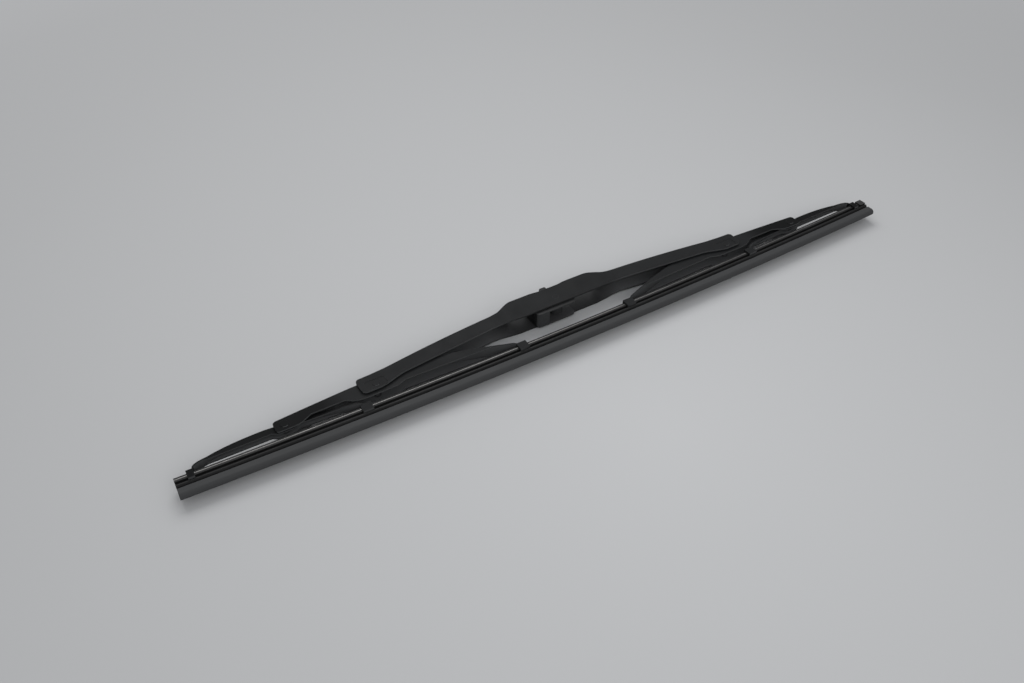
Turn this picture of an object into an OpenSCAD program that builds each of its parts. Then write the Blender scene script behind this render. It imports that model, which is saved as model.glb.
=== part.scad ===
// Bridge-type wiper blade, lying on its side.
// X runs along the blade, Y from the wiping lip up to the back of the bridge, Z across the thickness.
// The origin is the centre of the cross pin that the wiper arm's hook turns on. Lengths are millimetres.

/* [Squeegee] */
// Length of the rubber, which is the length of the blade
blade_len = 508; // [500:1:560]
// Full width of the rubber's head
head_w = 5.8; // [5:0.1:7]
// Thickness of the head's top cap
cap_h = 1.15; // [0.8:0.05:1.6]
// Thickness of the flange under the flexor grooves
flange_h = 1.1; // [0.8:0.05:1.6]
// Height of the groove that the claws hook into
claw_groove_h = 1.6; // [1.3:0.1:2.4]
// Height of the shoulder below the claw groove
shoulder_h = 1.9; // [1.2:0.1:3]
// Height of the thin neck that lets the lip flip over
neck_h = 0.9; // [0.5:0.1:1.5]
// Thickness of the neck
neck_w = 1.2; // [0.8:0.1:1.8]
// Height of the wedge from the neck to the lip
wedge_h = 3.7; // [2.5:0.1:6]
// Width of the wedge at the neck
wedge_w = 3.6; // [2.6:0.1:4.4]
// Height of the parallel lip
lip_h = 1.1; // [0.6:0.1:2]
// Thickness of the lip
lip_w = 0.8; // [0.5:0.05:1.2]
// Width left between the two flexor grooves
spine_core_w = 2.4; // [1.8:0.1:3]
// Radius that the rubber bows to at rest, with its ends towards the bridge
bow_r = 6000; // [5000:100:12000]

/* [Flexors] */
// Thickness of each spring steel strip
flexor_t = 0.9; // [0.6:0.05:1.1]
// Width of each spring steel strip
flexor_w = 1.75; // [1.4:0.05:2.2]

/* [Lip guard] */
// Height of the plastic guard
guard_h = 5.7; // [5:0.1:8]
// Wall of the plastic guard
guard_t = 0.6; // [0.4:0.05:0.9]

/* [Claws] */
// Length of the inner claws along the rubber
claw_len = 6.5; // [5:0.1:7.5]
// Length of the outermost claws along the rubber
claw_outer_len = 3.8; // [3.4:0.1:5.4]
// Play between a claw and the rubber's head
claw_gap = 0.15; // [0.1:0.01:0.3]
// How far a claw's hook reaches in under the head
claw_hook = 1.3; // [0.8:0.1:1.6]
// Place of the secondary levers' claws, as a share of half the blade
claw_inner_share = 0.158; // [0.15:0.001:0.18]
// Place of the yokes' inner claws, as a share of half the blade
claw_yoke_share = 0.565; // [0.54:0.001:0.59]
// Distance of the outermost claws from the blade's ends
claw_end_gap = 9; // [8:0.1:14]

/* [Yokes] */
// Sheet thickness of the yokes
yoke_t = 0.85; // [0.7:0.05:1]
// Half width of the yokes between their claws
yoke_half = 2.3; // [2.2:0.05:2.6]
// Place of a yoke's pivot, as a share of the way from its inner claw to its outer one
yoke_pivot_share = 0.4532; // [0.42:0.0001:0.5]
// Height of the yokes' pivots above the rubber
yoke_pivot_h = 7.6; // [7:0.1:8]
// Height of the yoke's arch above the rubber
yoke_arch_h = 10.4; // [9.9:0.1:11]
// Height of the yoke's back over its pivot
yoke_saddle_h = 9.7; // [9.4:0.1:9.9]
// Height of the yoke's lower edge above the rubber
yoke_low_h = 5.8; // [5.4:0.1:6.4]

/* [Secondary levers] */
// Sheet thickness of the secondary levers
secondary_t = 0.95; // [0.8:0.05:1.1]
// Place of the secondary levers' pivots, as a share of half the blade
secondary_pivot_share = 0.5197; // [0.505:0.0001:0.53]
// Height of the secondary levers' pivots above the rubber
secondary_pivot_h = 12.5; // [12:0.1:13]
// How far a secondary lever reaches out past the yoke's pivot
secondary_end_past = 5.8; // [4.5:0.1:8]
// Height of the secondary lever's outer end over the yoke's pivot
secondary_end_over = 4.2; // [4.1:0.1:5]
// Height of the secondary lever's back over its pivot
secondary_back_h = 17.9; // [17.4:0.1:18.2]
// Height of the lower edge between the lever's two pivots
secondary_low_h = 10.5; // [9.5:0.1:11]
// Height of the lower edge on the side of the middle
secondary_arm_low_h = 8.3; // [7.5:0.1:9.5]
// Height of the lower edge of the ear at its pivot
secondary_ear_h = 6; // [5.6:0.1:8]
// How far inside its pivot the secondary lever's back comes up to full height
secondary_flat_run = 20; // [14:1:32]

/* [Primary lever] */
// Sheet thickness of the primary lever
primary_t = 1.1; // [0.9:0.05:1.3]
// Half width of the centre block
block_half = 6.9; // [6.7:0.1:8]
// How far the primary lever reaches out past its end pivots
primary_end_past = 10; // [9:0.2:13]
// Room between the secondary lever's liner and the primary lever's web
primary_web_room = 0.9; // [0.8:0.05:1.6]
// How far inside the pivot the arm's back levels off
primary_shoulder_run = 11; // [8:0.5:18]
// Height of the back where it levels off, over its height at the end
primary_shoulder_rise = 1.1; // [0.6:0.1:2]
// Height of the back where it meets the centre block, over its height where it levels off
primary_root_rise = 8.1; // [7:0.1:9.6]
// Height of the lower edge of the ears at its ends
primary_ear_h = 8.3; // [7.6:0.1:8.6]
// Height of the lower edge under the centre block
block_low_h = 17.8; // [17:0.1:18.6]
// Height of the arm's lower edge next to the centre block
primary_low_h = 19.1; // [18.7:0.1:20.5]
// Half length of the centre block
block_x = 42.5; // [41:0.5:48]
// Height of the two humps of the centre block
hump_h = 34.6; // [34:0.1:36.5]
// Height of the dip between the humps
dip_h = 33.8; // [33:0.1:34]
// Where the window for the arm's hook starts, on the latch side
window_left_x = 30; // [26:0.5:32]
// Where the window for the arm's hook ends, on the side the arm comes from
window_right_x = 35; // [32:0.5:36]
// Depth of the pressed pad round each pivot
pad_depth = 0.25; // [0.15:0.05:0.4]

/* [Pins and liners] */
// Height of the cross pin above the rubber
pin_h = 24; // [23.6:0.1:25]
// Radius of the cross pin
pin_r = 2; // [1.8:0.05:2.2]
// Radius of the rivets in the primary lever
primary_rivet_r = 1.75; // [1.5:0.05:2]
// Radius of the rivets in the secondary levers
yoke_rivet_r = 1.5; // [1.3:0.05:1.7]
// Radius of a yoke rivet's head
rivet_head_r = 2.7; // [2.3:0.1:3]
// Height of a yoke rivet's head
rivet_head_h = 0.4; // [0.3:0.05:0.8]
// Radial running play of a pin or rivet
running_play = 0.05; // [0.03:0.01:0.08]
// Wall of the plastic liners, and of their web
liner_t = 0.45; // [0.35:0.05:0.5]
// Side wall of the yokes' liners, which fills the room beside the narrow yokes
yoke_liner_t = 1; // [0.8:0.05:1.1]
// Side play between a liner and the lever that straddles it
side_play = 0.1; // [0.05:0.01:0.2]
// Wall of the liner's sleeve in a lever's hole
sleeve_t = 0.7; // [0.5:0.05:0.9]

/* [Hook adaptor] */
// Side play between the adaptor and the primary lever
adaptor_play = 0.3; // [0.2:0.05:0.8]
// Thickness of the adaptor's cheeks
cheek_t = 0.9; // [0.7:0.1:1.2]
// Length of the adaptor on the latch side of the pin
adaptor_left = 19; // [17:0.1:20]
// Length of the adaptor on the arm's side of the pin
adaptor_right = 10.5; // [9:0.1:12]
// Depth of the adaptor below the pin
adaptor_below = 9; // [8:0.1:9.6]
// Radius of the round core that the hook goes round
core_r = 4.6; // [4:0.1:5]
// Height of the room for the arm's hook between the core and the latch
hook_room = 4.4; // [3.4:0.1:4.8]
// Thickness of the latch tongue
tongue_t = 1.1; // [0.9:0.1:1.4]
// Width of the latch tongue
tongue_w = 6; // [5:0.1:7]
// Height of the latch's thumb tab over the tongue
thumb_h = 4.2; // [3:0.1:4.6]
// Length of the latch's thumb tab
thumb_len = 4.8; // [3.5:0.1:6]

/* [End clip] */
// Length of the clip at the rubber's end
clip_len = 4.8; // [4:0.1:5]
// Sheet thickness of the clip
clip_t = 0.6; // [0.4:0.05:0.8]

/* [Hidden] */
$fn = 48;
steel_paint = [0.13, 0.13, 0.14];
far = 60; // longer than any depth that is cut away
bow_angle = blade_len / bow_r * 180 / PI;

// Heights down the rubber's section, from the top of its head
groove_top = -cap_h;
groove_low = groove_top - flexor_t - 0.1;
flange_low = groove_low - flange_h;
claw_low = flange_low - claw_groove_h;
shoulder_low = claw_low - shoulder_h;
neck_low = shoulder_low - neck_h;
wedge_low = neck_low - wedge_h;
lip_low = wedge_low - lip_h;
core_half = spine_core_w / 2;
claw_groove_half = core_half + 0.2;
flexor_seat = 0.05; // from the groove's floor to a flexor
guard_top = neck_low - 0.15;
guard_side_h = 0.8; // height over which the wedge's flat sides carry the guard

// Half widths of the nested levers, each worked out from the one inside it
claw_half_in = head_w / 2 + 0.15 + claw_gap; // the flexors stand 0.15 proud of the head
secondary_half_in = yoke_half + yoke_liner_t + side_play;
secondary_half = secondary_half_in + secondary_t;
arm_half_in = secondary_half + liner_t + side_play;
arm_half = arm_half_in + primary_t;
block_half_in = block_half - primary_t;
foot_low = claw_gap;
hook_top = flange_low - claw_gap;
hook_low = claw_low + claw_gap;

// Places along the blade, away from its middle
claw_inner_x = claw_inner_share * blade_len / 2;
claw_yoke_x = claw_yoke_share * blade_len / 2;
claw_outer_x = blade_len / 2 - claw_end_gap;
yoke_pivot_x = claw_yoke_x + yoke_pivot_share * (claw_outer_x - claw_yoke_x);
secondary_pivot_x = secondary_pivot_share * blade_len / 2;
secondary_flat_x = secondary_pivot_x - secondary_flat_run;
primary_end_x = secondary_pivot_x + primary_end_past;
primary_shoulder_x = secondary_pivot_x - primary_shoulder_run;

// Details that follow from the sizes above
rivet_fit = 0.02;
head_fit = 0.05;
primary_end_h = secondary_back_h + head_fit + liner_t + primary_web_room + primary_t;
primary_shoulder_h = primary_end_h + primary_shoulder_rise;
primary_root_h = primary_shoulder_h + primary_root_rise;
yoke_hole_r = yoke_rivet_r + running_play + sleeve_t;
secondary_hole_r = primary_rivet_r + running_play + sleeve_t;
tip_run = 1.9; // from a claw's edge to where the yoke's back leaves it
yoke_arch_x = yoke_pivot_x + 10.5;
yoke_ear_drop = 3.8;
yoke_flare = 9; // length over which a yoke widens towards a claw
secondary_ear_drop = 4.3;
secondary_ear_in = 9; // reach of the ear's lowest edge from the pivot, towards the middle
secondary_ear_out = 10;
secondary_ear_rise = 11;
secondary_narrow_run = 6; // from the claw to where the sides begin to part
secondary_wide_run = 18;
secondary_end_r = 2;
secondary_bend_x = secondary_pivot_x + 14;
primary_corner_r = 2.4;
arm_bulge = 0.83;
hump_in_x = 14;
hump_out_x = 28;
dip_half = 6;
arm_low_x = block_x + 7;
arm_low_out_x = secondary_pivot_x - 20;
arm_low_out_h = primary_ear_h + 4.7;
ear_x = secondary_pivot_x - 2;
pad_half_x = 6.6;
pad_half_h = 3.7;
pad_r = 1.6;
window_r = 2;
head_r = 2.4;
liner_half_x = 5.5;
yoke_liner_half_x = 4.5;
liner_drop = 3.4;
adaptor_half = block_half_in - adaptor_play;
cheek_in = adaptor_half - cheek_t;
latch_low = core_r + hook_room;
adaptor_r = 3;
nose_t = 3;

// How far the bowed rubber stands above its own middle, at a distance from the middle
function rise(x) = bow_r - sqrt(bow_r * bow_r - x * x);
// The yoke sits on the rubber at its two claws, so it leans by the slope from one to the other
yoke_lean = atan2(rise(claw_outer_x) - rise(claw_yoke_x), claw_outer_x - claw_yoke_x);
yoke_pivot = [claw_yoke_x + (yoke_pivot_x - claw_yoke_x) * cos(yoke_lean) - yoke_pivot_h * sin(yoke_lean),
    rise(claw_yoke_x) + (yoke_pivot_x - claw_yoke_x) * sin(yoke_lean) + yoke_pivot_h * cos(yoke_lean)];
secondary_end_x = yoke_pivot[0] + secondary_end_past;
secondary_end_h = yoke_pivot[1] + secondary_end_over;

// Heights are measured from the top of the rubber's middle
module on_rubber() translate([0, -pin_h, 0]) children();
// The yoke's own heights are measured from the rubber at its claws
module on_yoke() on_rubber() translate([claw_yoke_x, rise(claw_yoke_x), 0]) rotate([0, 0, yoke_lean])
    translate([-claw_yoke_x, 0, 0]) children();

// Eased step from 0 to 1
function ease(u) = u * u * (3 - 2 * u);
function mix(a, b, u) = a + (b - a) * u;
function ramp(u) = ease(min(max(u, 0), 1));
function flip(points) = [for (i = [len(points) - 1:-1:0]) [-points[i][0], points[i][1]]];
function turned(points) = [for (i = [len(points) - 1:-1:0]) points[i]];
// Points on an arc round a centre, from angle a to angle b
function arc(centre, r, a, b, n = 6) =
    [for (i = [0:n]) centre + r * [cos(mix(a, b, i / n)), sin(mix(a, b, i / n))]];
// Unit vector that points into the metal, for an outline that runs along its back towards +X
function inward(points, i) =
    let (d = points[min(i + 1, len(points) - 1)] - points[max(i - 1, 0)]) [d[1], -d[0]] / norm(d);
function inset(points, t) = [for (i = [0:len(points) - 1]) points[i] + t * inward(points, i)];

// A sheet's outline extruded across the blade
module across(half, outline) linear_extrude(2 * half, center = true) polygon(outline);

// A section drawn in height and thickness, extruded along the blade from x0 to x1
module along(x0, x1, section) translate([x0, 0, 0]) rotate([90, 0, 90]) linear_extrude(x1 - x0)
    polygon(section);

// A section drawn in height and thickness, carried along the bowed rubber
module bowed(section) translate([0, bow_r, 0]) rotate([0, 0, -90 - bow_angle / 2])
    rotate_extrude(angle = bow_angle, $fn = 3000) polygon([for (p = section) [bow_r - p[0], p[1]]]);

// Sheet metal seen from its back: half widths at places along the blade
module plan(widths) rotate([90, 0, 0]) linear_extrude(2 * far, center = true)
    polygon(concat([for (w = widths) [w[0], -w[1]]], turned(widths)));

module rounded(x0, y0, x1, y1, r) {
    translate([x0 + r, y0]) square([x1 - x0 - 2 * r, y1 - y0]);
    translate([x0, y0 + r]) square([x1 - x0, y1 - y0 - 2 * r]);
    for (x = [x0 + r, x1 - r], y = [y0 + r, y1 - r]) translate([x, y]) circle(r);
}

// Bore across the blade at a place along it and a height above the rubber
module bore(x, h, r) translate([x, h, 0]) cylinder(h = far, r = r, center = true);

// A claw: a foot on the rubber's head, two sides and two hooks that reach into the claw groove
module claw(x, t, len) {
    out = claw_half_in + t;
    hook_in = claw_half_in - claw_hook;
    right = [[foot_low + t, 0], [foot_low + t, out - t], [foot_low + 0.7 * t, out - 0.3 * t],
        [foot_low, out], [hook_low, out], [hook_low, hook_in], [hook_top, hook_in],
        [hook_top, claw_half_in], [foot_low, claw_half_in]];
    left = [for (i = [len(right) - 1:-1:1]) [right[i][0], -right[i][1]]];
    along(x - len / 2, x + len / 2, concat(right, left));
}

// Squeegee
module squeegee() color("#161616") on_rubber() {
    half = head_w / 2;
    right = [[0, half - 0.3], [-0.3, half], [groove_top, half], [groove_top, core_half],
        [groove_low, core_half], [groove_low, half], [flange_low, half], [flange_low, claw_groove_half],
        [claw_low, claw_groove_half], [claw_low, half - 0.5], [claw_low - 0.5, half],
        [shoulder_low + 0.6, half], [shoulder_low, neck_w / 2], [neck_low, neck_w / 2],
        [neck_low, wedge_w / 2 - 0.15], [neck_low - 0.15, wedge_w / 2],
        [neck_low - guard_side_h, wedge_w / 2], [wedge_low, lip_w / 2], [lip_low, lip_w / 2]];
    left = [for (i = [len(right) - 1:-1:0]) [right[i][0], -right[i][1]]];
    bowed(concat(right, left));
}

module flexor(side) color("#b9b7b2") on_rubber() {
    z0 = core_half + flexor_seat;
    z1 = z0 + flexor_w;
    low = groove_low + 0.05;
    bowed([[low, side * z0], [low, side * z1], [low + flexor_t, side * z1], [low + flexor_t, side * z0]]);
}
module flexor_upper() flexor(1);
module flexor_lower() flexor(-1);

// Lip guard, a thin channel that grips the flat sides of the wedge
module lip_guard() color("#4b4b4c") on_rubber() {
    inner = wedge_w / 2;
    outer = inner + guard_t;
    low = guard_top - guard_h;
    centre = low + outer;
    outside = arc([centre, 0], outer, 90, 270, 12);
    inside = arc([centre, 0], inner, 270, 90, 12);
    section = concat([[guard_top, outer]], outside, [[guard_top, -outer], [guard_top, -inner]],
        inside, [[guard_top, inner]]);
    bowed(section);
}

// Clip folded over the rubber's head at one end
module end_clip() color("#1c1c1d") on_rubber() {
    in = claw_half_in - claw_gap + 0.02;
    out = in + clip_t;
    right = [[clip_t, 0], [clip_t, out - 0.3], [clip_t - 0.3, out], [hook_low, out], [hook_low, in - 0.9],
        [hook_low + clip_t, in - 0.9], [hook_low + clip_t, in], [head_fit, in]];
    left = [for (i = [len(right) - 1:-1:1]) [right[i][0], -right[i][1]]];
    translate([0, bow_r, 0]) rotate([0, 0, bow_angle / 2]) translate([-blade_len / 2, -bow_r, 0])
        along(blade_len / 2 - clip_len, blade_len / 2, concat(right, left));
}

// Back of the right-hand yoke from its inner claw to its outer claw, as heights above the rubber
yoke_foot_h = foot_low + yoke_t;
yoke_in_x = claw_yoke_x + claw_len / 2 - tip_run;
yoke_out_x = claw_outer_x - claw_outer_len / 2 + 0.4;
function yoke_back(x) =
    x < yoke_pivot_x ? mix(yoke_foot_h, yoke_saddle_h,
        sin(90 * pow((x - yoke_in_x) / (yoke_pivot_x - yoke_in_x), 0.62)))
    : x < yoke_arch_x ? mix(yoke_saddle_h, yoke_arch_h,
        ramp((x - yoke_pivot_x) / (yoke_arch_x - yoke_pivot_x)))
    : mix(yoke_foot_h, yoke_arch_h,
        sqrt(max(0, 1 - pow((x - yoke_arch_x) / (yoke_out_x - yoke_arch_x), 2))));
yoke_steps = 24;
yoke_top = concat([[claw_yoke_x - claw_len / 2, yoke_foot_h]],
    [for (i = [0:yoke_steps]) let (x = mix(yoke_in_x, yoke_out_x, 0.5 - 0.5 * cos(180 * i / yoke_steps)))
        [x, yoke_back(x)]],
    [[claw_outer_x + claw_outer_len / 2, yoke_foot_h]]);
// Lower edge of a lever: level, with an ear that hangs down round a pivot
function ear(x, level, low, half, run) = [[x + half + run, level],
    [x + half + 0.4 * run, low + 0.15 * (level - low)], [x + half, low], [x - half, low],
    [x - half - 0.4 * run, low + 0.15 * (level - low)], [x - half - run, level]];
// The sides stand wider apart at the claws, which go round the rubber
function yoke_plan(wide, narrow) =
    let (in = claw_yoke_x + claw_len / 2, out = claw_outer_x - claw_outer_len / 2)
    [[in - far, wide], [in, wide], [in + yoke_flare, narrow], [out - yoke_flare, narrow], [out, wide],
        [out + far, wide]];

module yoke() on_yoke() difference() {
    under = inset(yoke_top, yoke_t);
    outer_tip = turned([for (p = under) if (p[1] < yoke_low_h && p[0] > yoke_pivot_x) p]);
    inner_tip = turned([for (p = under) if (p[1] < yoke_low_h && p[0] < yoke_pivot_x) p]);
    low = ear(yoke_pivot_x, yoke_low_h, yoke_pivot_h - yoke_ear_drop, 3.4, 5);
    union() {
        difference() {
            intersection() {
                across(far, concat(yoke_top, outer_tip, low, inner_tip));
                plan(yoke_plan(claw_half_in + yoke_t, yoke_half));
            }
            intersection() {
                across(far, concat(under, [[claw_outer_x, -far], [claw_yoke_x, -far]]));
                plan(yoke_plan(claw_half_in, yoke_half - yoke_t));
            }
        }
        claw(claw_yoke_x, yoke_t, claw_len);
        claw(claw_outer_x, yoke_t, claw_outer_len);
    }
    bore(yoke_pivot_x, yoke_pivot_h, yoke_hole_r);
}
module yoke_right() color(steel_paint) yoke();
module yoke_left() color(steel_paint) mirror([1, 0, 0]) yoke();

// Back of the right-hand secondary lever, from its claw to its outer end
secondary_in_x = claw_inner_x + claw_len / 2 + 1;
secondary_foot_h = rise(claw_inner_x) + foot_low + secondary_t;
secondary_step_h = secondary_foot_h + 1.4;
function secondary_back(x) = let (u = (x - secondary_in_x) / (secondary_flat_x - secondary_in_x))
    x < secondary_flat_x ? mix(secondary_step_h, secondary_back_h, u * (1.5 - 0.5 * u * u))
    : x < secondary_bend_x ? secondary_back_h
    : mix(secondary_back_h, secondary_end_h,
        pow((x - secondary_bend_x) / (secondary_end_x - secondary_bend_x), 1.1));
secondary_rise = [for (i = [0:10]) let (x = mix(secondary_in_x, secondary_flat_x, i / 10))
    [x, secondary_back(x)]];
secondary_fall = [for (i = [0:6]) let (x = mix(secondary_bend_x, secondary_end_x - secondary_end_r, i / 6))
    [x, secondary_back(x)]];
secondary_top = concat([[claw_inner_x - claw_len / 2, secondary_foot_h],
    [secondary_in_x - 1.8, secondary_foot_h]], secondary_rise, secondary_fall);
secondary_under = inset(secondary_top, secondary_t);
function secondary_plan(narrow, wide) = [[0, narrow], [secondary_in_x + secondary_narrow_run, narrow],
    [secondary_in_x + secondary_wide_run, wide], [blade_len, wide]];

module secondary() on_rubber() difference() {
    tip = turned([for (p = secondary_under) if (p[1] < secondary_arm_low_h && p[0] < secondary_flat_x) p]);
    r = secondary_end_r;
    end_top = secondary_back(secondary_end_x - r) - 0.1;
    end_low = yoke_pivot[1] - secondary_ear_drop;
    end = concat(arc([secondary_end_x - r, end_top - r], r, 84, 0),
        arc([secondary_end_x - r, end_low + r], r, 0, -90));
    end_ear = [[yoke_pivot[0] - 5, end_low], [yoke_pivot[0] - 9, end_low + 0.6],
        [yoke_pivot[0] - 16, secondary_low_h]];
    out = secondary_pivot_x + secondary_ear_out;
    in = secondary_pivot_x - secondary_ear_in;
    own_ear = [[out + secondary_ear_rise, secondary_low_h],
        [out + 0.4 * secondary_ear_rise, mix(secondary_ear_h, secondary_low_h, 0.18)],
        [out, secondary_ear_h], [in, secondary_ear_h],
        [in - 0.3 * secondary_ear_rise, mix(secondary_ear_h, secondary_arm_low_h, 0.18)],
        [in - 0.7 * secondary_ear_rise, secondary_arm_low_h]];
    union() {
        intersection() {
            across(far, concat(secondary_top, end, end_ear, own_ear, tip));
            plan(secondary_plan(claw_half_in + secondary_t, secondary_half));
        }
        translate([0, rise(claw_inner_x), 0]) claw(claw_inner_x, secondary_t, claw_len);
    }
    intersection() {
        across(far, concat(secondary_under, [[secondary_end_x + far, secondary_end_h - secondary_t],
            [secondary_end_x + far, -far], [0, -far]]));
        plan(secondary_plan(claw_half_in, secondary_half_in));
        translate([claw_inner_x + claw_len / 2, -far, -far]) cube([blade_len, 2 * far, 2 * far]);
    }
    bore(yoke_pivot[0], yoke_pivot[1], yoke_rivet_r + rivet_fit);
    bore(secondary_pivot_x, secondary_pivot_h, secondary_hole_r);
}
module secondary_lever_right() color(steel_paint) secondary();
module secondary_lever_left() color(steel_paint) mirror([1, 0, 0]) secondary();

// Half of the primary lever's back, from the middle of the centre block to the end of the arm
function block_back(x) =
    x < dip_half ? dip_h
    : x < hump_in_x ? mix(dip_h, hump_h, ramp((x - dip_half) / (hump_in_x - dip_half)))
    : mix(hump_h, primary_root_h, ramp((x - hump_out_x) / (block_x - hump_out_x)));
function arm_back(x) =
    let (u = (x - block_x) / (primary_shoulder_x - block_x))
    let (v = (x - primary_shoulder_x) / (primary_end_x - primary_shoulder_x))
    u < 1 ? mix(primary_root_h, primary_shoulder_h, u) + arm_bulge * 4 * u * (1 - u)
    : mix(primary_end_h, primary_shoulder_h, (1 - v) * (1 - v));
half_top = concat([for (i = [0:5]) let (x = mix(dip_half, hump_in_x, i / 5)) [x, block_back(x)]],
    [for (i = [0:7]) let (x = mix(hump_out_x, block_x, i / 7)) [x, block_back(x)]],
    [for (i = [1:10]) let (x = mix(block_x, primary_end_x, i / 10)) [x, arm_back(x)]]);
primary_top = concat(flip(half_top), half_top);
half_ear = concat([[block_x - 13, block_low_h], [block_x - 7, mix(block_low_h, primary_low_h, 0.5)],
    [block_x, primary_low_h], [arm_low_x, primary_low_h], [arm_low_out_x, arm_low_out_h]],
    [for (i = [1:5]) let (u = i / 5)
        [mix(arm_low_out_x, ear_x, u), mix(arm_low_out_h, primary_ear_h, 0.5 * u + 0.5 * ease(u))]]);
function primary_half_plan(wide, narrow) = [[block_x - 6, wide], [block_x + 4, narrow], [blade_len, narrow]];
function primary_plan(wide, narrow) =
    concat(flip(primary_half_plan(wide, narrow)), primary_half_plan(wide, narrow));

module primary_lever() color(steel_paint) on_rubber() difference() {
    low_r = 3.4;
    end = concat(arc([primary_end_x - primary_corner_r, primary_end_h - primary_corner_r],
        primary_corner_r, 84, 0, 5),
        arc([primary_end_x - low_r, primary_ear_h + low_r], low_r, 0, -90, 6));
    right = concat([for (p = half_top) if (p[0] < primary_end_x - primary_corner_r) p],
        end, turned(half_ear));
    intersection() {
        across(far, concat(right, flip(right)));
        plan(primary_plan(block_half, arm_half));
    }
    under = inset(primary_top, primary_t);
    intersection() {
        across(far, concat(under, [[primary_end_x + far, primary_end_h - primary_t - 0.1],
            [primary_end_x + far, -far], [-primary_end_x - far, -far],
            [-primary_end_x - far, primary_end_h - primary_t - 0.1]]));
        plan(primary_plan(block_half_in, arm_half_in));
    }
    // window for the arm's hook, cut through the web only
    translate([0, far, 0]) rotate([90, 0, 0]) linear_extrude(far)
        rounded(-window_left_x, -block_half_in, window_right_x, block_half_in, window_r);
    bore(0, pin_h, pin_r + rivet_fit);
    for (side = [-1, 1]) {
        bore(side * secondary_pivot_x, secondary_pivot_h, primary_rivet_r + rivet_fit);
        // pressed pad round the rivet
        for (z = [-arm_half, arm_half - pad_depth])
            translate([side * secondary_pivot_x, secondary_pivot_h, z]) linear_extrude(pad_depth)
                rounded(-pad_half_x, -pad_half_h, pad_half_x, pad_half_h, pad_r);
    }
}

// Thin saddle over a lever at its pivot, with a sleeve in each of the lever's holes
module liner(x, h, reach, back, half, side_t, wall, hole_r, rivet_r) difference() {
    outer_half = half + side_t;
    low = h - liner_drop;
    over = [for (p = back) [p[0], p[1] + head_fit + liner_t]];
    under = [for (p = back) [p[0], p[1] + head_fit]];
    ends = [[x + reach, low + 1.5], [x + reach - 1.5, low], [x - reach + 1.5, low], [x - reach, low + 1.5]];
    union() {
        difference() {
            across(outer_half, concat(over, ends));
            across(half, concat(under, [[x + 2 * far, -far], [x - 2 * far, -far]]));
        }
        for (side = [-1, 1]) translate([x, h, side * (half - wall / 2)])
            cylinder(h = wall, r = hole_r - rivet_fit, center = true);
    }
    bore(x, h, rivet_r + running_play);
}
yoke_liner_in = yoke_pivot_x - yoke_liner_half_x;
yoke_liner_out = yoke_pivot_x + yoke_liner_half_x;
module liner_yoke() on_yoke() liner(yoke_pivot_x, yoke_pivot_h, yoke_liner_half_x,
    concat([[yoke_liner_in, lookup(yoke_liner_in, yoke_top)]],
        [for (p = yoke_top) if (p[0] > yoke_liner_in && p[0] < yoke_liner_out) p],
        [[yoke_liner_out, lookup(yoke_liner_out, yoke_top)]]),
    yoke_half, yoke_liner_t, yoke_t, yoke_hole_r, yoke_rivet_r);
module liner_primary() on_rubber() liner(secondary_pivot_x, secondary_pivot_h, liner_half_x,
    [for (x = [-liner_half_x, liner_half_x]) [secondary_pivot_x + x, secondary_back_h]],
    secondary_half, liner_t, secondary_t, secondary_hole_r, primary_rivet_r);
module liner_yoke_right() color("#202021") liner_yoke();
module liner_yoke_left() color("#202021") mirror([1, 0, 0]) liner_yoke();
module liner_primary_right() color("#202021") liner_primary();
module liner_primary_left() color("#202021") mirror([1, 0, 0]) liner_primary();

// Rivet: a shank across the levers and a head on each side
module rivet(x, h, r, seat, head, head_h) on_rubber() translate([x, h, 0]) rotate_extrude() polygon([
    [0, -seat - head_h], [head - 0.25, -seat - head_h], [head, -seat - head_h + 0.2], [head, -seat],
    [r, -seat], [r, seat], [head, seat], [head, seat + head_h - 0.2], [head - 0.25, seat + head_h],
    [0, seat + head_h]]);
module rivet_primary(side) color("#3a3a3c")
    rivet(side * secondary_pivot_x, secondary_pivot_h, primary_rivet_r,
        arm_half - pad_depth, head_r, pad_depth);
module rivet_yoke(side) color("#3a3a3c")
    rivet(side * yoke_pivot[0], yoke_pivot[1], yoke_rivet_r, secondary_half, rivet_head_r, rivet_head_h);
module rivet_primary_left() rivet_primary(-1);
module rivet_primary_right() rivet_primary(1);
module rivet_yoke_left() rivet_yoke(-1);
module rivet_yoke_right() rivet_yoke(1);

// Cross pin, flush with the primary lever's sides
module cross_pin() color("#8a8a8c") cylinder(h = 2 * block_half, r = pin_r, center = true);

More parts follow.
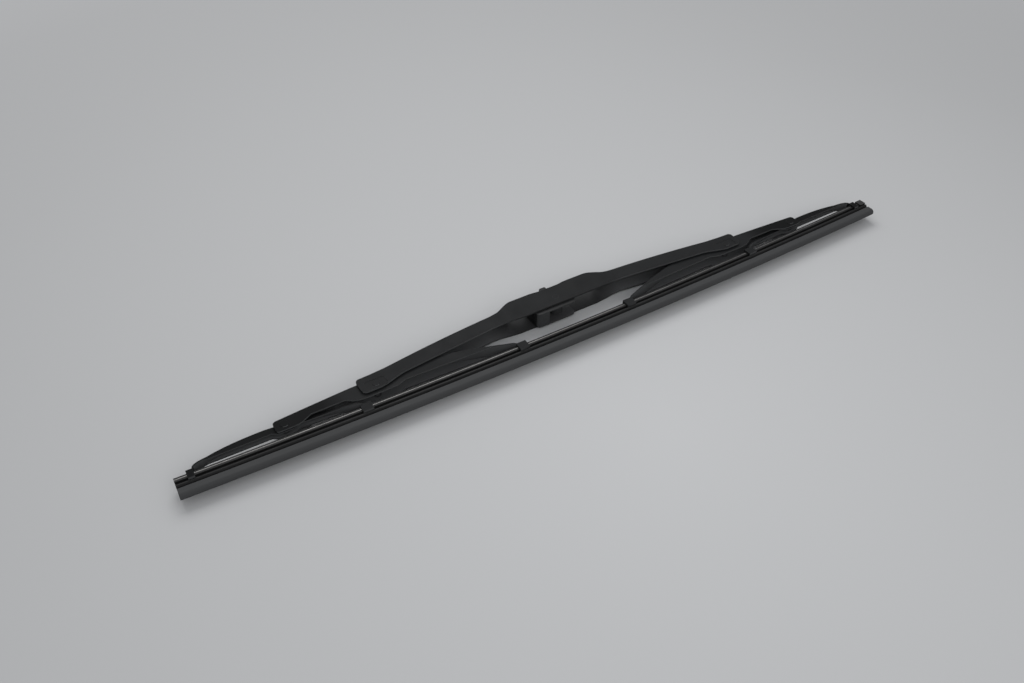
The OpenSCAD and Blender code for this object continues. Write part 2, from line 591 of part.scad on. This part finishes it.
// Hook adaptor, one moulding: two cheeks, a round core, a nose with the floor, and the latch
module hook_adaptor() color("#1b1b1c") difference() {
    cheek = concat([[adaptor_right - 2, latch_low + 0.4], [adaptor_right, latch_low - 1.6]],
        arc([adaptor_right - adaptor_r, adaptor_r - adaptor_below], adaptor_r, 0, -90, 6),
        arc([adaptor_r - adaptor_left, adaptor_r - adaptor_below], adaptor_r, 270, 180, 6),
        arc([adaptor_r - adaptor_left, latch_low + tongue_t - adaptor_r], adaptor_r, 180, 90, 6),
        [[-thumb_len, latch_low + tongue_t], [-thumb_len + 1, latch_low + 0.4]]);
    union() {
        across(adaptor_half, cheek);
        // thumb tab at the free end of the latch
        across(adaptor_half, [[-thumb_len, latch_low], [-thumb_len, latch_low + thumb_h - 0.6],
            [-thumb_len + 0.6, latch_low + thumb_h], [-0.6, latch_low + thumb_h],
            [0, latch_low + thumb_h - 0.6], [0, latch_low]]);
    }
    // room for the hook round the core, open towards the arm
    difference() {
        translate([nose_t - adaptor_left, -adaptor_below + 1.5, -cheek_in])
            cube([adaptor_left + far, adaptor_below - 1.5 + latch_low, 2 * cheek_in]);
        cylinder(h = far, r = core_r, center = true);
    }
    translate([-10, -far, -cheek_in]) cube([far, far - core_r - 0.5, 2 * cheek_in]);
    // slots that free the latch tongue from the cheeks
    for (side = [-1, 1])
        translate([nose_t - adaptor_left, latch_low - 0.01, side > 0 ? tongue_w / 2 : -cheek_in])
            cube([adaptor_left - nose_t - thumb_len, far, cheek_in - tongue_w / 2]);
    cylinder(h = far, r = pin_r + running_play, center = true);
}

primary_lever();
secondary_lever_left();
secondary_lever_right();
yoke_left();
yoke_right();
liner_primary_left();
liner_primary_right();
liner_yoke_left();
liner_yoke_right();
rivet_primary_left();
rivet_primary_right();
rivet_yoke_left();
rivet_yoke_right();
cross_pin();
hook_adaptor();
squeegee();
flexor_upper();
flexor_lower();
end_clip();
lip_guard();
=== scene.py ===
import math
import numpy as np
import bpy
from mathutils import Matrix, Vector


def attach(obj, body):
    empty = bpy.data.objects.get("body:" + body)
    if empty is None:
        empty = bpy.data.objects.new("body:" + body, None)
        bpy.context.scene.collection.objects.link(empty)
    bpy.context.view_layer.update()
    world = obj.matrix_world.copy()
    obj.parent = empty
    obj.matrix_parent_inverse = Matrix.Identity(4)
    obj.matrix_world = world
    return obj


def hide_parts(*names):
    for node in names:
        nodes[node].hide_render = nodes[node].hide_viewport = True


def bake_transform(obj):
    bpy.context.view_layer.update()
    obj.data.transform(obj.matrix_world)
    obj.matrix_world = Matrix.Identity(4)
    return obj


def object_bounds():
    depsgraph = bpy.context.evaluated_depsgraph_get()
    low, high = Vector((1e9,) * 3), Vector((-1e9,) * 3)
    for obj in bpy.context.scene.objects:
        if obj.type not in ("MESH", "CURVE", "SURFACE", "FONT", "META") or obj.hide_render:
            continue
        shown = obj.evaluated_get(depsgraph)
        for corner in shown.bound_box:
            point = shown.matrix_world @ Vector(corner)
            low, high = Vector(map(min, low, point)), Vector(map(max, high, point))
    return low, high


# Windscreen wiper blade lying on its side, in metres, with x along the blade and z up from the floor.
# Sections and places of the bending pieces are written in millimetres.
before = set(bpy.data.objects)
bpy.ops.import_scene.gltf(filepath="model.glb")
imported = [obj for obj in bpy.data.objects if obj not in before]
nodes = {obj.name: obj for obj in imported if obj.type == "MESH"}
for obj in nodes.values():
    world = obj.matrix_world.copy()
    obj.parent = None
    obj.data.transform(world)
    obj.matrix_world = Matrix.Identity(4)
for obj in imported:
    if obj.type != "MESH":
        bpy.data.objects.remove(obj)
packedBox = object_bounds()
mm = 0.001
spine = -24 * mm  # y of the rubber's top at the middle of the blade
bowRadius = 6000 * mm  # the rubber at rest bows along an arc, its ends towards the bridge


def placed(name, data):
    obj = bpy.data.objects.new(name, data)
    bpy.context.scene.collection.objects.link(obj)
    return obj


# Materials

def tint(grey, blue=0.0):
    return (grey * (1 - blue), grey, grey * (1 + blue), 1)


class Coat:
    # a material and short names for the nodes that it is made of
    def __init__(self, name):
        self.material = bpy.data.materials.new(name)
        self.material.use_nodes = True
        self.tree = self.material.node_tree
        self.shader = self.tree.nodes["Principled BSDF"]
        self.place = self.add("ShaderNodeTexCoord").outputs["Object"]

    def add(self, kind, **sockets):
        node = self.tree.nodes.new(kind)
        for key, value in sockets.items():
            self.put(node.inputs[key.replace("_", " ")], value)
        return node

    def put(self, socket, value):
        if isinstance(value, bpy.types.NodeSocket):
            self.tree.links.new(value, socket)
        else:
            socket.default_value = value

    def set(self, **sockets):
        for key, value in sockets.items():
            self.put(self.shader.inputs[key.replace("_", " ")], value)

    def stretched(self, scale):
        return self.add("ShaderNodeMapping", Vector=self.place, Scale=scale).outputs["Vector"]

    def axis(self, name):
        return self.add("ShaderNodeSeparateXYZ", Vector=self.place).outputs[name]

    def noise(self, scale, detail, rough=0.5, vector=None):
        node = self.add("ShaderNodeTexNoise", Vector=vector or self.place, Scale=scale, Detail=detail,
                        Roughness=rough)
        return node.outputs["Fac"]

    def span(self, value, low, high, start=0.0, end=1.0):
        # from low to high while the value goes from start to end
        node = self.add("ShaderNodeMapRange", Value=value, From_Min=start, From_Max=end, To_Min=low,
                        To_Max=high)
        return node.outputs["Result"]

    def mix(self, amount, a, b):
        node = self.add("ShaderNodeMix")
        node.data_type = "RGBA"
        self.put(node.inputs["Factor"], amount)
        self.put(node.inputs["A"], a)
        self.put(node.inputs["B"], b)
        return node.outputs["Result"]

    def bump(self, height, strength, distance):
        node = self.add("ShaderNodeBump", Height=height, Strength=strength, Distance=distance)
        return node.outputs["Normal"]

    def maths(self, operation, a, b=0.0):
        node = self.add("ShaderNodeMath")
        node.operation = operation
        self.put(node.inputs[0], a)
        self.put(node.inputs[1], b)
        return node.outputs[0]

    def vectorMaths(self, operation, a, b=(0, 0, 0)):
        node = self.add("ShaderNodeVectorMath")
        node.operation = operation
        self.put(node.inputs[0], a)
        self.put(node.inputs[1], b)
        return node

    def edges(self, radius=0.0004, low=0.04, high=0.25, lengthwise=False):
        # 1 on an edge, where a rounded normal leans away from the surface's own
        soft = self.add("ShaderNodeBevel", Radius=radius)
        soft.samples = 4
        leaning = soft.outputs["Normal"]
        if lengthwise:
            # only edges along the blade count, so that the cut between two lengths doesn't show
            leaning = self.vectorMaths("MULTIPLY", leaning, (0, 1, 1)).outputs["Vector"]
            leaning = self.vectorMaths("NORMALIZE", leaning).outputs["Vector"]
        own = self.add("ShaderNodeNewGeometry").outputs["Normal"]
        lean = self.vectorMaths("DOT_PRODUCT", leaning, own).outputs["Value"]
        return self.span(self.maths("SUBTRACT", 1.0, lean), 0, 1, low, high)

    def inside(self):
        # 1 on the inner faces of a channel's sides, whose normal looks back to the mid-plane z = 0,
        # and a little less on the underside of its back, whose normal looks to the rubber. The paint and
        # the adaptor's plastic use it as the mask for their painted light.
        own = self.add("ShaderNodeNewGeometry").outputs["Normal"]
        facing = self.add("ShaderNodeSeparateXYZ", Vector=own)
        side = self.maths("LESS_THAN", self.maths("MULTIPLY", facing.outputs["Z"], self.axis("Z")), -0.0001)
        under = self.maths("LESS_THAN", facing.outputs["Y"], -0.5)
        return self.maths("MAXIMUM", side, self.maths("MULTIPLY", under, 0.6))


# The paint is lighter and shinier in the middle of the blade than at its ends. The inner faces of the
# channels, and more faintly the undersides of their backs, are painted lighter: painted light standing in
# for the light that reaches into them, less of it in the centre block. The span of the change to the ends
# and that of the centre block are distances from the middle, in metres.
paintLook = {"ends": 0.006, "middle": 0.013, "dusty": 0.0182, "worn": 0.035, "inner": 0.13,
             "paintedLightBlock": 0.04, "middleToEnds": (0.15, 0.166), "block": (0.032, 0.05), "rough": 0.5,
             "shine": (0.08, 0.04), "patches": 90, "grain": 2600, "speckle": 0.00006}


def makePaint():
    look = paintLook
    coat = Coat("leverPaint")
    patches = coat.noise(look["patches"], 4)
    away = coat.maths("ABSOLUTE", coat.axis("X"))
    ends, middle = tint(look["ends"], 0.05), tint(look["middle"], 0.05)
    # lighter in the middle of the blade, darker towards its ends
    ground = coat.mix(coat.span(away, 1, 0, *look["middleToEnds"]), ends, middle)
    dusty = coat.mix(coat.span(patches, 0, 0.3, 0.35, 0.7), ground, tint(look["dusty"], 0.02))
    # painted light: a lighter colour on the channels' inner faces and the backs' undersides, standing in
    # for light reaching them, less of it in the centre block
    paintedLightBlock, inner = tint(look["paintedLightBlock"], 0.02), tint(look["inner"], 0.02)
    dustAndPaintedLight = coat.mix(coat.span(away, 0, 1, *look["block"]), paintedLightBlock, inner)
    unworn = coat.mix(coat.inside(), dusty, dustAndPaintedLight)
    coat.set(Base_Color=coat.mix(coat.edges(), unworn, tint(look["worn"], 0.02)),
             Roughness=coat.span(patches, look["rough"] - 0.07, look["rough"] + 0.08, 0.3, 0.7),
             Normal=coat.bump(coat.noise(look["grain"], 2), 0.35, look["speckle"]),
             Specular_IOR_Level=coat.span(away, *look["shine"], *look["middleToEnds"]))
    return coat.material


rubberLook = {"base": 0.01, "dustAndPaintedLight": 0.022, "rough": 0.5, "shine": 0.2, "lines": (6, 900, 900),
              "depth": 0.00004}


def makeRubber():
    look = rubberLook
    coat = Coat("squeegeeRubber")
    lines = coat.noise(1.0, 3, 0.6, coat.stretched(look["lines"]))
    dusty = coat.span(coat.noise(60, 5), 0, 0.6, 0.5, 0.8)
    coat.set(Base_Color=coat.mix(dusty, tint(look["base"]), tint(look["dustAndPaintedLight"], 0.02)),
             Roughness=coat.span(lines, look["rough"] - 0.08, look["rough"] + 0.1, 0.3, 0.7),
             Normal=coat.bump(lines, 0.25, look["depth"]), Specular_IOR_Level=look["shine"])
    return coat.material


steelLook = {"base": (0.15, 0.147, 0.143, 1), "dull": (0.09, 0.09, 0.087, 1), "rough": 0.34,
             "lines": (12, 2400, 2400), "depth": 0.00002}


def makeSteel():
    look = steelLook
    coat = Coat("flexorSteel")
    lines = coat.noise(1.0, 3, 0.6, coat.stretched(look["lines"]))
    spots = coat.span(coat.noise(160, 4), 0, 0.7, 0.45, 0.75)
    coat.set(Base_Color=coat.mix(spots, look["base"], look["dull"]), Metallic=1.0,
             Roughness=coat.span(lines, look["rough"] - 0.07, look["rough"] + 0.15, 0.3, 0.7),
             Normal=coat.bump(lines, 0.15, look["depth"]))
    return coat.material


darkSteelLook = {"base": 0.014, "bare": 0.08, "rough": 0.4, "metal": 0.2, "grain": 700, "speckle": 0.00003}


def makeDarkSteel():
    look = darkSteelLook
    coat = Coat("clipSteel")
    spots = coat.noise(look["grain"], 3)
    coat.set(Base_Color=coat.mix(coat.edges(0.0003), tint(look["base"]), tint(look["bare"])),
             Metallic=look["metal"],
             Roughness=coat.span(spots, look["rough"] - 0.06, look["rough"] + 0.12, 0.3, 0.7),
             Normal=coat.bump(spots, 0.3, look["speckle"]))
    return coat.material


# Moulded plastic has an even grain, drawn plastic fine lines along the blade.
# The adaptor's inner colour is painted light, four times its base, on its inner faces and undersides; the
# guard's equals its base.
adaptorLook = {"base": 0.016, "inner": 0.064, "worn": 0.042, "dustAndPaintedLight": 0.028, "rough": 0.45, "shine": 0.15,
               "lines": None, "speckle": 0.00003}
guardLook = {"base": 0.052, "inner": 0.052, "worn": 0.114, "dustAndPaintedLight": 0.06, "rough": 0.55, "shine": 0.12,
             "lines": (7, 620, 620), "speckle": 0.00005}


def makePlastic(name, look):
    coat = Coat(name)
    drawn = look["lines"] is not None
    fine = coat.noise(1.0, 4, 0.6, coat.stretched(look["lines"])) if drawn else coat.noise(1800, 2)
    cloud = coat.noise(70, 4)
    # painted light: inner faces and undersides that look to the rubber take the lighter inner colour, for
    # light reaching them
    shaded = coat.mix(coat.inside(), tint(look["base"], 0.02), tint(look["inner"], 0.02))
    worn = coat.mix(coat.edges(0.0003, lengthwise=drawn), shaded, tint(look["worn"]))
    coat.set(Base_Color=coat.mix(coat.span(cloud, 0, 0.5, 0.45, 0.8), worn, tint(look["dustAndPaintedLight"], 0.02)),
             Roughness=coat.span(cloud, look["rough"] - 0.06, look["rough"] + 0.08, 0.3, 0.7),
             Normal=coat.bump(fine, 0.3, look["speckle"]), Specular_IOR_Level=look["shine"])
    return coat.material


paint = makePaint()
rubber = makeRubber()
steel = makeSteel()
darkSteel = makeDarkSteel()
plastic = makePlastic("adaptorPlastic", adaptorLook)
guardPlastic = makePlastic("guardPlastic", guardLook)
print("materials made")


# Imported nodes: each one's material, and how wide its edges are rounded, in millimetres

nodeSet = {"primary_lever": (paint, 0.35), "secondary_lever": (paint, 0.3), "yoke": (paint, 0.22),
           "liner": (plastic, 0.1), "rivet": (paint, 0.1), "cross_pin": (paint, 0.15),
           "hook_adaptor": (plastic, 0.25)}


def dress(obj, material, width):
    obj.data.materials.clear()
    obj.data.materials.append(material)
    bevel = obj.modifiers.new("edgeRound", "BEVEL")
    bevel.width = width * mm
    bevel.segments = 3
    bevel.limit_method = "ANGLE"
    bevel.angle_limit = math.radians(40)
    bevel.harden_normals = True


for name, obj in nodes.items():
    for start, (material, width) in nodeSet.items():
        if name.startswith(start):
            dress(obj, material, width)
print("packed nodes dressed")


# Pieces swept along the blade's bow, length by length

def rounded(points, radius, steps=3):
    # Each corner p of the closed section becomes a quadratic curve (1 - t)^2 a + 2 t (1 - t) p + t^2 b,
    # where a and b lie on its two sides, a radius away from p but at most a third of the side.
    corner = np.array(points, float)
    before = np.roll(corner, 1, axis=0) - corner
    after = np.roll(corner, -1, axis=0) - corner
    sideBefore = np.linalg.norm(before, axis=1, keepdims=True)
    sideAfter = np.linalg.norm(after, axis=1, keepdims=True)
    reach = np.minimum(radius, np.minimum(sideBefore, sideAfter) / 3)
    a = (corner + before / sideBefore * reach)[:, None]
    b = (corner + after / sideAfter * reach)[:, None]
    t = (np.arange(steps + 1) / steps)[None, :, None]
    return ((1 - t) ** 2 * a + 2 * t * (1 - t) * corner[:, None] + t ** 2 * b).reshape(-1, 2)


def mirrored(right):
    # the closed section of a shape that is the same on both sides, from its +z side, top to bottom
    return list(right) + [(s, -z) for s, z in reversed(right)]


# A tongue at the far end of a length reaches into the next one. It is thinner by a hair, so that the
# next length slides over it, and is that thin from a little before the cut.
tongueSet = {"length": 1.6, "thinner": 0.012, "before": 2, "taper": 4}


def sweep(name, section, x0, x1, step, material, tongue=False):
    # section is a closed loop of (height s above the spine, z), carried along the bow's arc of radius R:
    # at a distance x along the blade, a = x / R, a point lies at ((R - s) sin a, R - (R - s) cos a, z)
    size = tongueSet
    loop = np.asarray(section, float) * mm
    places = np.linspace(x0, x1, max(2, round((x1 - x0) / step) + 1))
    thin = np.zeros(len(places))
    if tongue:
        places = np.append(places, [x1 + size["length"] / 2, x1 + size["length"]])
        thin = np.clip((places - x1 + size["before"] + size["taper"]) / size["taper"], 0, 1)
    # the loop's signed area says which way round it was drawn
    area = 0.5 * np.sum(loop[:, 0] * np.roll(loop[:, 1], -1) - np.roll(loop[:, 0], -1) * loop[:, 1])
    along = np.roll(loop, -1, axis=0) - np.roll(loop, 1, axis=0)
    outward = np.stack([along[:, 1], -along[:, 0]], axis=1) / np.linalg.norm(along, axis=1)[:, None]
    outward *= np.sign(area)
    rings = loop[None] - thin[:, None, None] * size["thinner"] * mm * outward[None]
    angles = places[:, None] * mm / bowRadius
    reach = bowRadius - rings[:, :, 0]
    points = np.stack([reach * np.sin(angles), bowRadius - reach * np.cos(angles) + spine, rings[:, :, 1]],
                      axis=-1)
    # four-sided faces between neighbouring rings, and one face over each end
    count, around = len(places), len(loop)
    here = np.arange(around)
    beside = np.roll(here, -1)
    ring = np.arange(count - 1)[:, None] * around
    quads = np.stack([ring + here, ring + beside, ring + around + beside, ring + around + here], axis=-1)
    ends = [here[::-1].tolist(), ((count - 1) * around + here).tolist()]
    mesh = bpy.data.meshes.new(name)
    mesh.from_pydata(points.reshape(-1, 3).tolist(), [], quads.reshape(-1, 4).tolist() + ends)
    mesh.validate()
    if area < 0:
        mesh.flip_normals()
    mesh.polygons.foreach_set("use_smooth", [True] * len(mesh.polygons))
    mesh.set_sharp_from_angle(angle=math.radians(35))
    mesh.materials.append(material)
    return placed(name, mesh)


# half widths first, then heights from the rubber's top down, then small eases at the corners
squeegeeSet = {"half": 2.9, "core": 1.2, "clawGroove": 1.4, "shoulderHalf": 1.7, "neckHalf": 0.6,
               "wedgeHalf": 1.8, "lipHalf": 0.4,
               "cap": -1.15, "grooveLow": -2.15, "flange": -3.25, "clawLow": -4.85, "shoulder": -6.75,
               "neck": -7.65, "wedge": -11.35, "lip": -12.45,
               "sunk": 0.02, "corner": 0.35, "clawEase": 0.4, "shoulderEase": 0.7, "wedgeIn": 0.1,
               "wedgeEase": 0.15, "wedgeStraight": 0.8, "round": 0.12}


def squeegeeSection():
    size = squeegeeSet
    half, claw, shoulder, neck = size["half"], size["clawLow"], size["shoulder"], size["neck"]
    headHalf = half - size["sunk"]
    head = [(-size["sunk"], half - size["corner"]), (-size["corner"], headHalf), (size["cap"], headHalf),
            (size["cap"], size["core"]), (size["grooveLow"], size["core"]), (size["grooveLow"], half),
            (size["flange"], half), (size["flange"], size["clawGroove"])]
    body = [(claw, size["clawGroove"]), (claw, half - size["clawEase"]), (claw - size["clawEase"], half),
            (shoulder + size["shoulderEase"], half), (shoulder, size["shoulderHalf"]),
            (shoulder, size["neckHalf"]), (neck, size["neckHalf"])]
    wedge = [(neck, size["wedgeHalf"] - size["wedgeIn"]), (neck - size["wedgeEase"], size["wedgeHalf"]),
             (neck - size["wedgeStraight"], size["wedgeHalf"]), (size["wedge"], size["lipHalf"]),
             (size["lip"], size["lipHalf"])]
    return rounded(mirrored(head + body + wedge), size["round"])


flexorSet = {"low": -2.1, "high": -1.2, "inner": 1.25, "outer": 3.02, "round": 0.3}


def flexorSection(side):
    size = flexorSet
    inner, outer = side * size["inner"], side * size["outer"]
    points = [(size["high"], inner), (size["high"], outer), (size["low"], outer), (size["low"], inner)]
    return rounded(points if side > 0 else points[::-1], size["round"])


guardSet = {"top": -7.8, "low": -13.5, "wall": 0.6, "inner": 1.8, "arcPoints": 25}


def guardSection():
    # a channel with straight sides and a half-round floor
    size = guardSet
    top, inner = size["top"], size["inner"]
    outer = inner + size["wall"]
    centre = size["low"] + outer
    turn = np.linspace(0, math.pi, size["arcPoints"])
    arc = np.stack([-np.sin(turn), np.cos(turn)], axis=1)
    outside = arc * outer + (centre, 0)
    inside = arc[::-1] * inner + (centre, 0)
    return np.concatenate([[(top, outer)], outside, [(top, -outer), (top, -inner)], inside, [(top, inner)]])


# Each length runs between its two cuts. The two levers it would follow and the last two places of a turn
# from the first to the second, which are, like the cuts, distances along the blade from its middle, are
# listed but not used.
bladeHalf = 254
cut = 84
bendStep = 3.0
bends = [("outer_left", -bladeHalf, -cut, "outer_left", "secondary_left", -150, -90),
         ("inner_left", -cut, 0, "secondary_left", "bridge", -78, 158),
         ("inner_right", 0, cut, "secondary_right", "bridge", 78, -158),
         ("outer_right", cut, bladeHalf, "outer_right", "secondary_right", 150, 90)]


def bending(name, section, material, node):
    for part, x0, x1, first, second, start, end in bends:
        obj = sweep(name + "_" + part, section, x0, x1, bendStep, material, tongue=x1 == 0)
        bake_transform(obj)
        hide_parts(node)


bending("rubber", squeegeeSection(), rubber, "squeegee")
bending("strip_upper", flexorSection(1), steel, "flexor_upper")
bending("strip_lower", flexorSection(-1), steel, "flexor_lower")
bending("guard", guardSection(), guardPlastic, "lip_guard")

# the clip folded over the rubber's head goes along with the right-hand yoke
clipSet = {"length": 4.8, "step": 1.2, "back": 0.6, "under": 0.05, "out": 3.67, "in": 3.07, "hookIn": 2.17,
           "hookTop": -4.1, "hookLow": -4.7, "corner": 0.3, "round": 0.15}


def clipSection():
    size = clipSet
    right = [(size["back"], size["out"] - size["corner"]), (size["back"] - size["corner"], size["out"]),
             (size["hookLow"], size["out"]), (size["hookLow"], size["hookIn"]),
             (size["hookTop"], size["hookIn"]), (size["hookTop"], size["in"]), (size["under"], size["in"])]
    return rounded(mirrored(right), size["round"])


clipStart = bladeHalf - clipSet["length"]
clip = sweep("clip_folded", clipSection(), clipStart, bladeHalf, clipSet["step"], darkSteel)
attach(clip, "outer_right")
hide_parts("end_clip")
print("bending pieces made")


# Stage: floor, room, lamps, camera

roomSet = {"colour": (0.8, 0.81, 0.83, 1), "seen": 0.55, "lighting": 0.62}
floorSet = {"half": 6.0, "centre": (0, -0.12, 0), "near": (0.605, 0.61, 0.615, 1),
            "dim": (0.385, 0.388, 0.391, 1), "dimAt": 0.75, "fade": (0.5, 1.0), "rough": 0.75, "shine": 0.2}
lampSet = {"softBack": {"place": (0.2, 1.0, 1.2), "size": (1.4, 0.9), "power": 11},
           "softFront": {"place": (-0.1, -1.1, 0.8), "size": (0.9, 0.7), "power": 3.4}}
cameraSet = {"lens": 33.26, "sensor": 36, "place": (-0.2639, -0.3871, 0.3966),
             "look": (0.3779, 0.6326, -0.6761)}


def makeFloor():
    size = floorSet["half"]
    level = packedBox[0].z
    corners = [(-size, -size, level), (size, -size, level), (size, size, level), (-size, size, level)]
    mesh = bpy.data.meshes.new("floor")
    mesh.from_pydata(corners, [], [(0, 1, 2, 3)])
    coat = Coat("floorPaper")
    # dimmer away from the blade, and lit by itself far out, where it meets the background
    away = coat.vectorMaths("DISTANCE", coat.place, floorSet["centre"]).outputs["Value"]
    paper = coat.mix(coat.span(away, 0, 1, 0, floorSet["dimAt"]), floorSet["near"], floorSet["dim"])
    far = coat.span(away, 0, 1, *floorSet["fade"])
    coat.set(Base_Color=coat.mix(far, paper, (0, 0, 0, 1)), Roughness=floorSet["rough"],
             Specular_IOR_Level=coat.span(far, floorSet["shine"], 0), Emission_Color=roomSet["colour"],
             Emission_Strength=coat.maths("MULTIPLY", far, roomSet["seen"]))
    mesh.materials.append(coat.material)
    return placed("floor", mesh)


def makeWorld():
    # the room lights a little more than the camera sees of it
    world = bpy.data.worlds.new("paleRoom")
    world.use_nodes = True
    tree = world.node_tree
    background = tree.nodes["Background"]
    background.inputs["Color"].default_value = roomSet["colour"]
    seen = tree.nodes.new("ShaderNodeLightPath")
    strength = tree.nodes.new("ShaderNodeMapRange")
    strength.inputs["To Min"].default_value = roomSet["lighting"]
    strength.inputs["To Max"].default_value = roomSet["seen"]
    tree.links.new(seen.outputs["Is Camera Ray"], strength.inputs["Value"])
    tree.links.new(strength.outputs["Result"], background.inputs["Strength"])
    bpy.context.scene.world = world


def turned(direction):
    # lamps and the camera look along their own -z
    return Vector(direction).to_track_quat("-Z", "Y").to_euler()


def makeLamp(name, place, size, power):
    lamp = bpy.data.lights.new(name, "AREA")
    lamp.shape = "RECTANGLE"
    lamp.size, lamp.size_y = size
    lamp.energy = power
    obj = placed(name, lamp)
    obj.location = place
    obj.rotation_euler = turned(-Vector(place))
    return obj


def makeCamera():
    camera = bpy.data.cameras.new("camera")
    camera.lens = cameraSet["lens"]
    camera.sensor_width = cameraSet["sensor"]
    camera.clip_start = 0.01
    obj = placed("camera", camera)
    obj.location = cameraSet["place"]
    obj.rotation_euler = turned(cameraSet["look"])
    bpy.context.scene.camera = obj


stage = [makeFloor()] + [makeLamp(name, **settings) for name, settings in lampSet.items()]
makeWorld()
makeCamera()
bpy.context.scene.view_settings.view_transform = "Standard"
print("stage made")
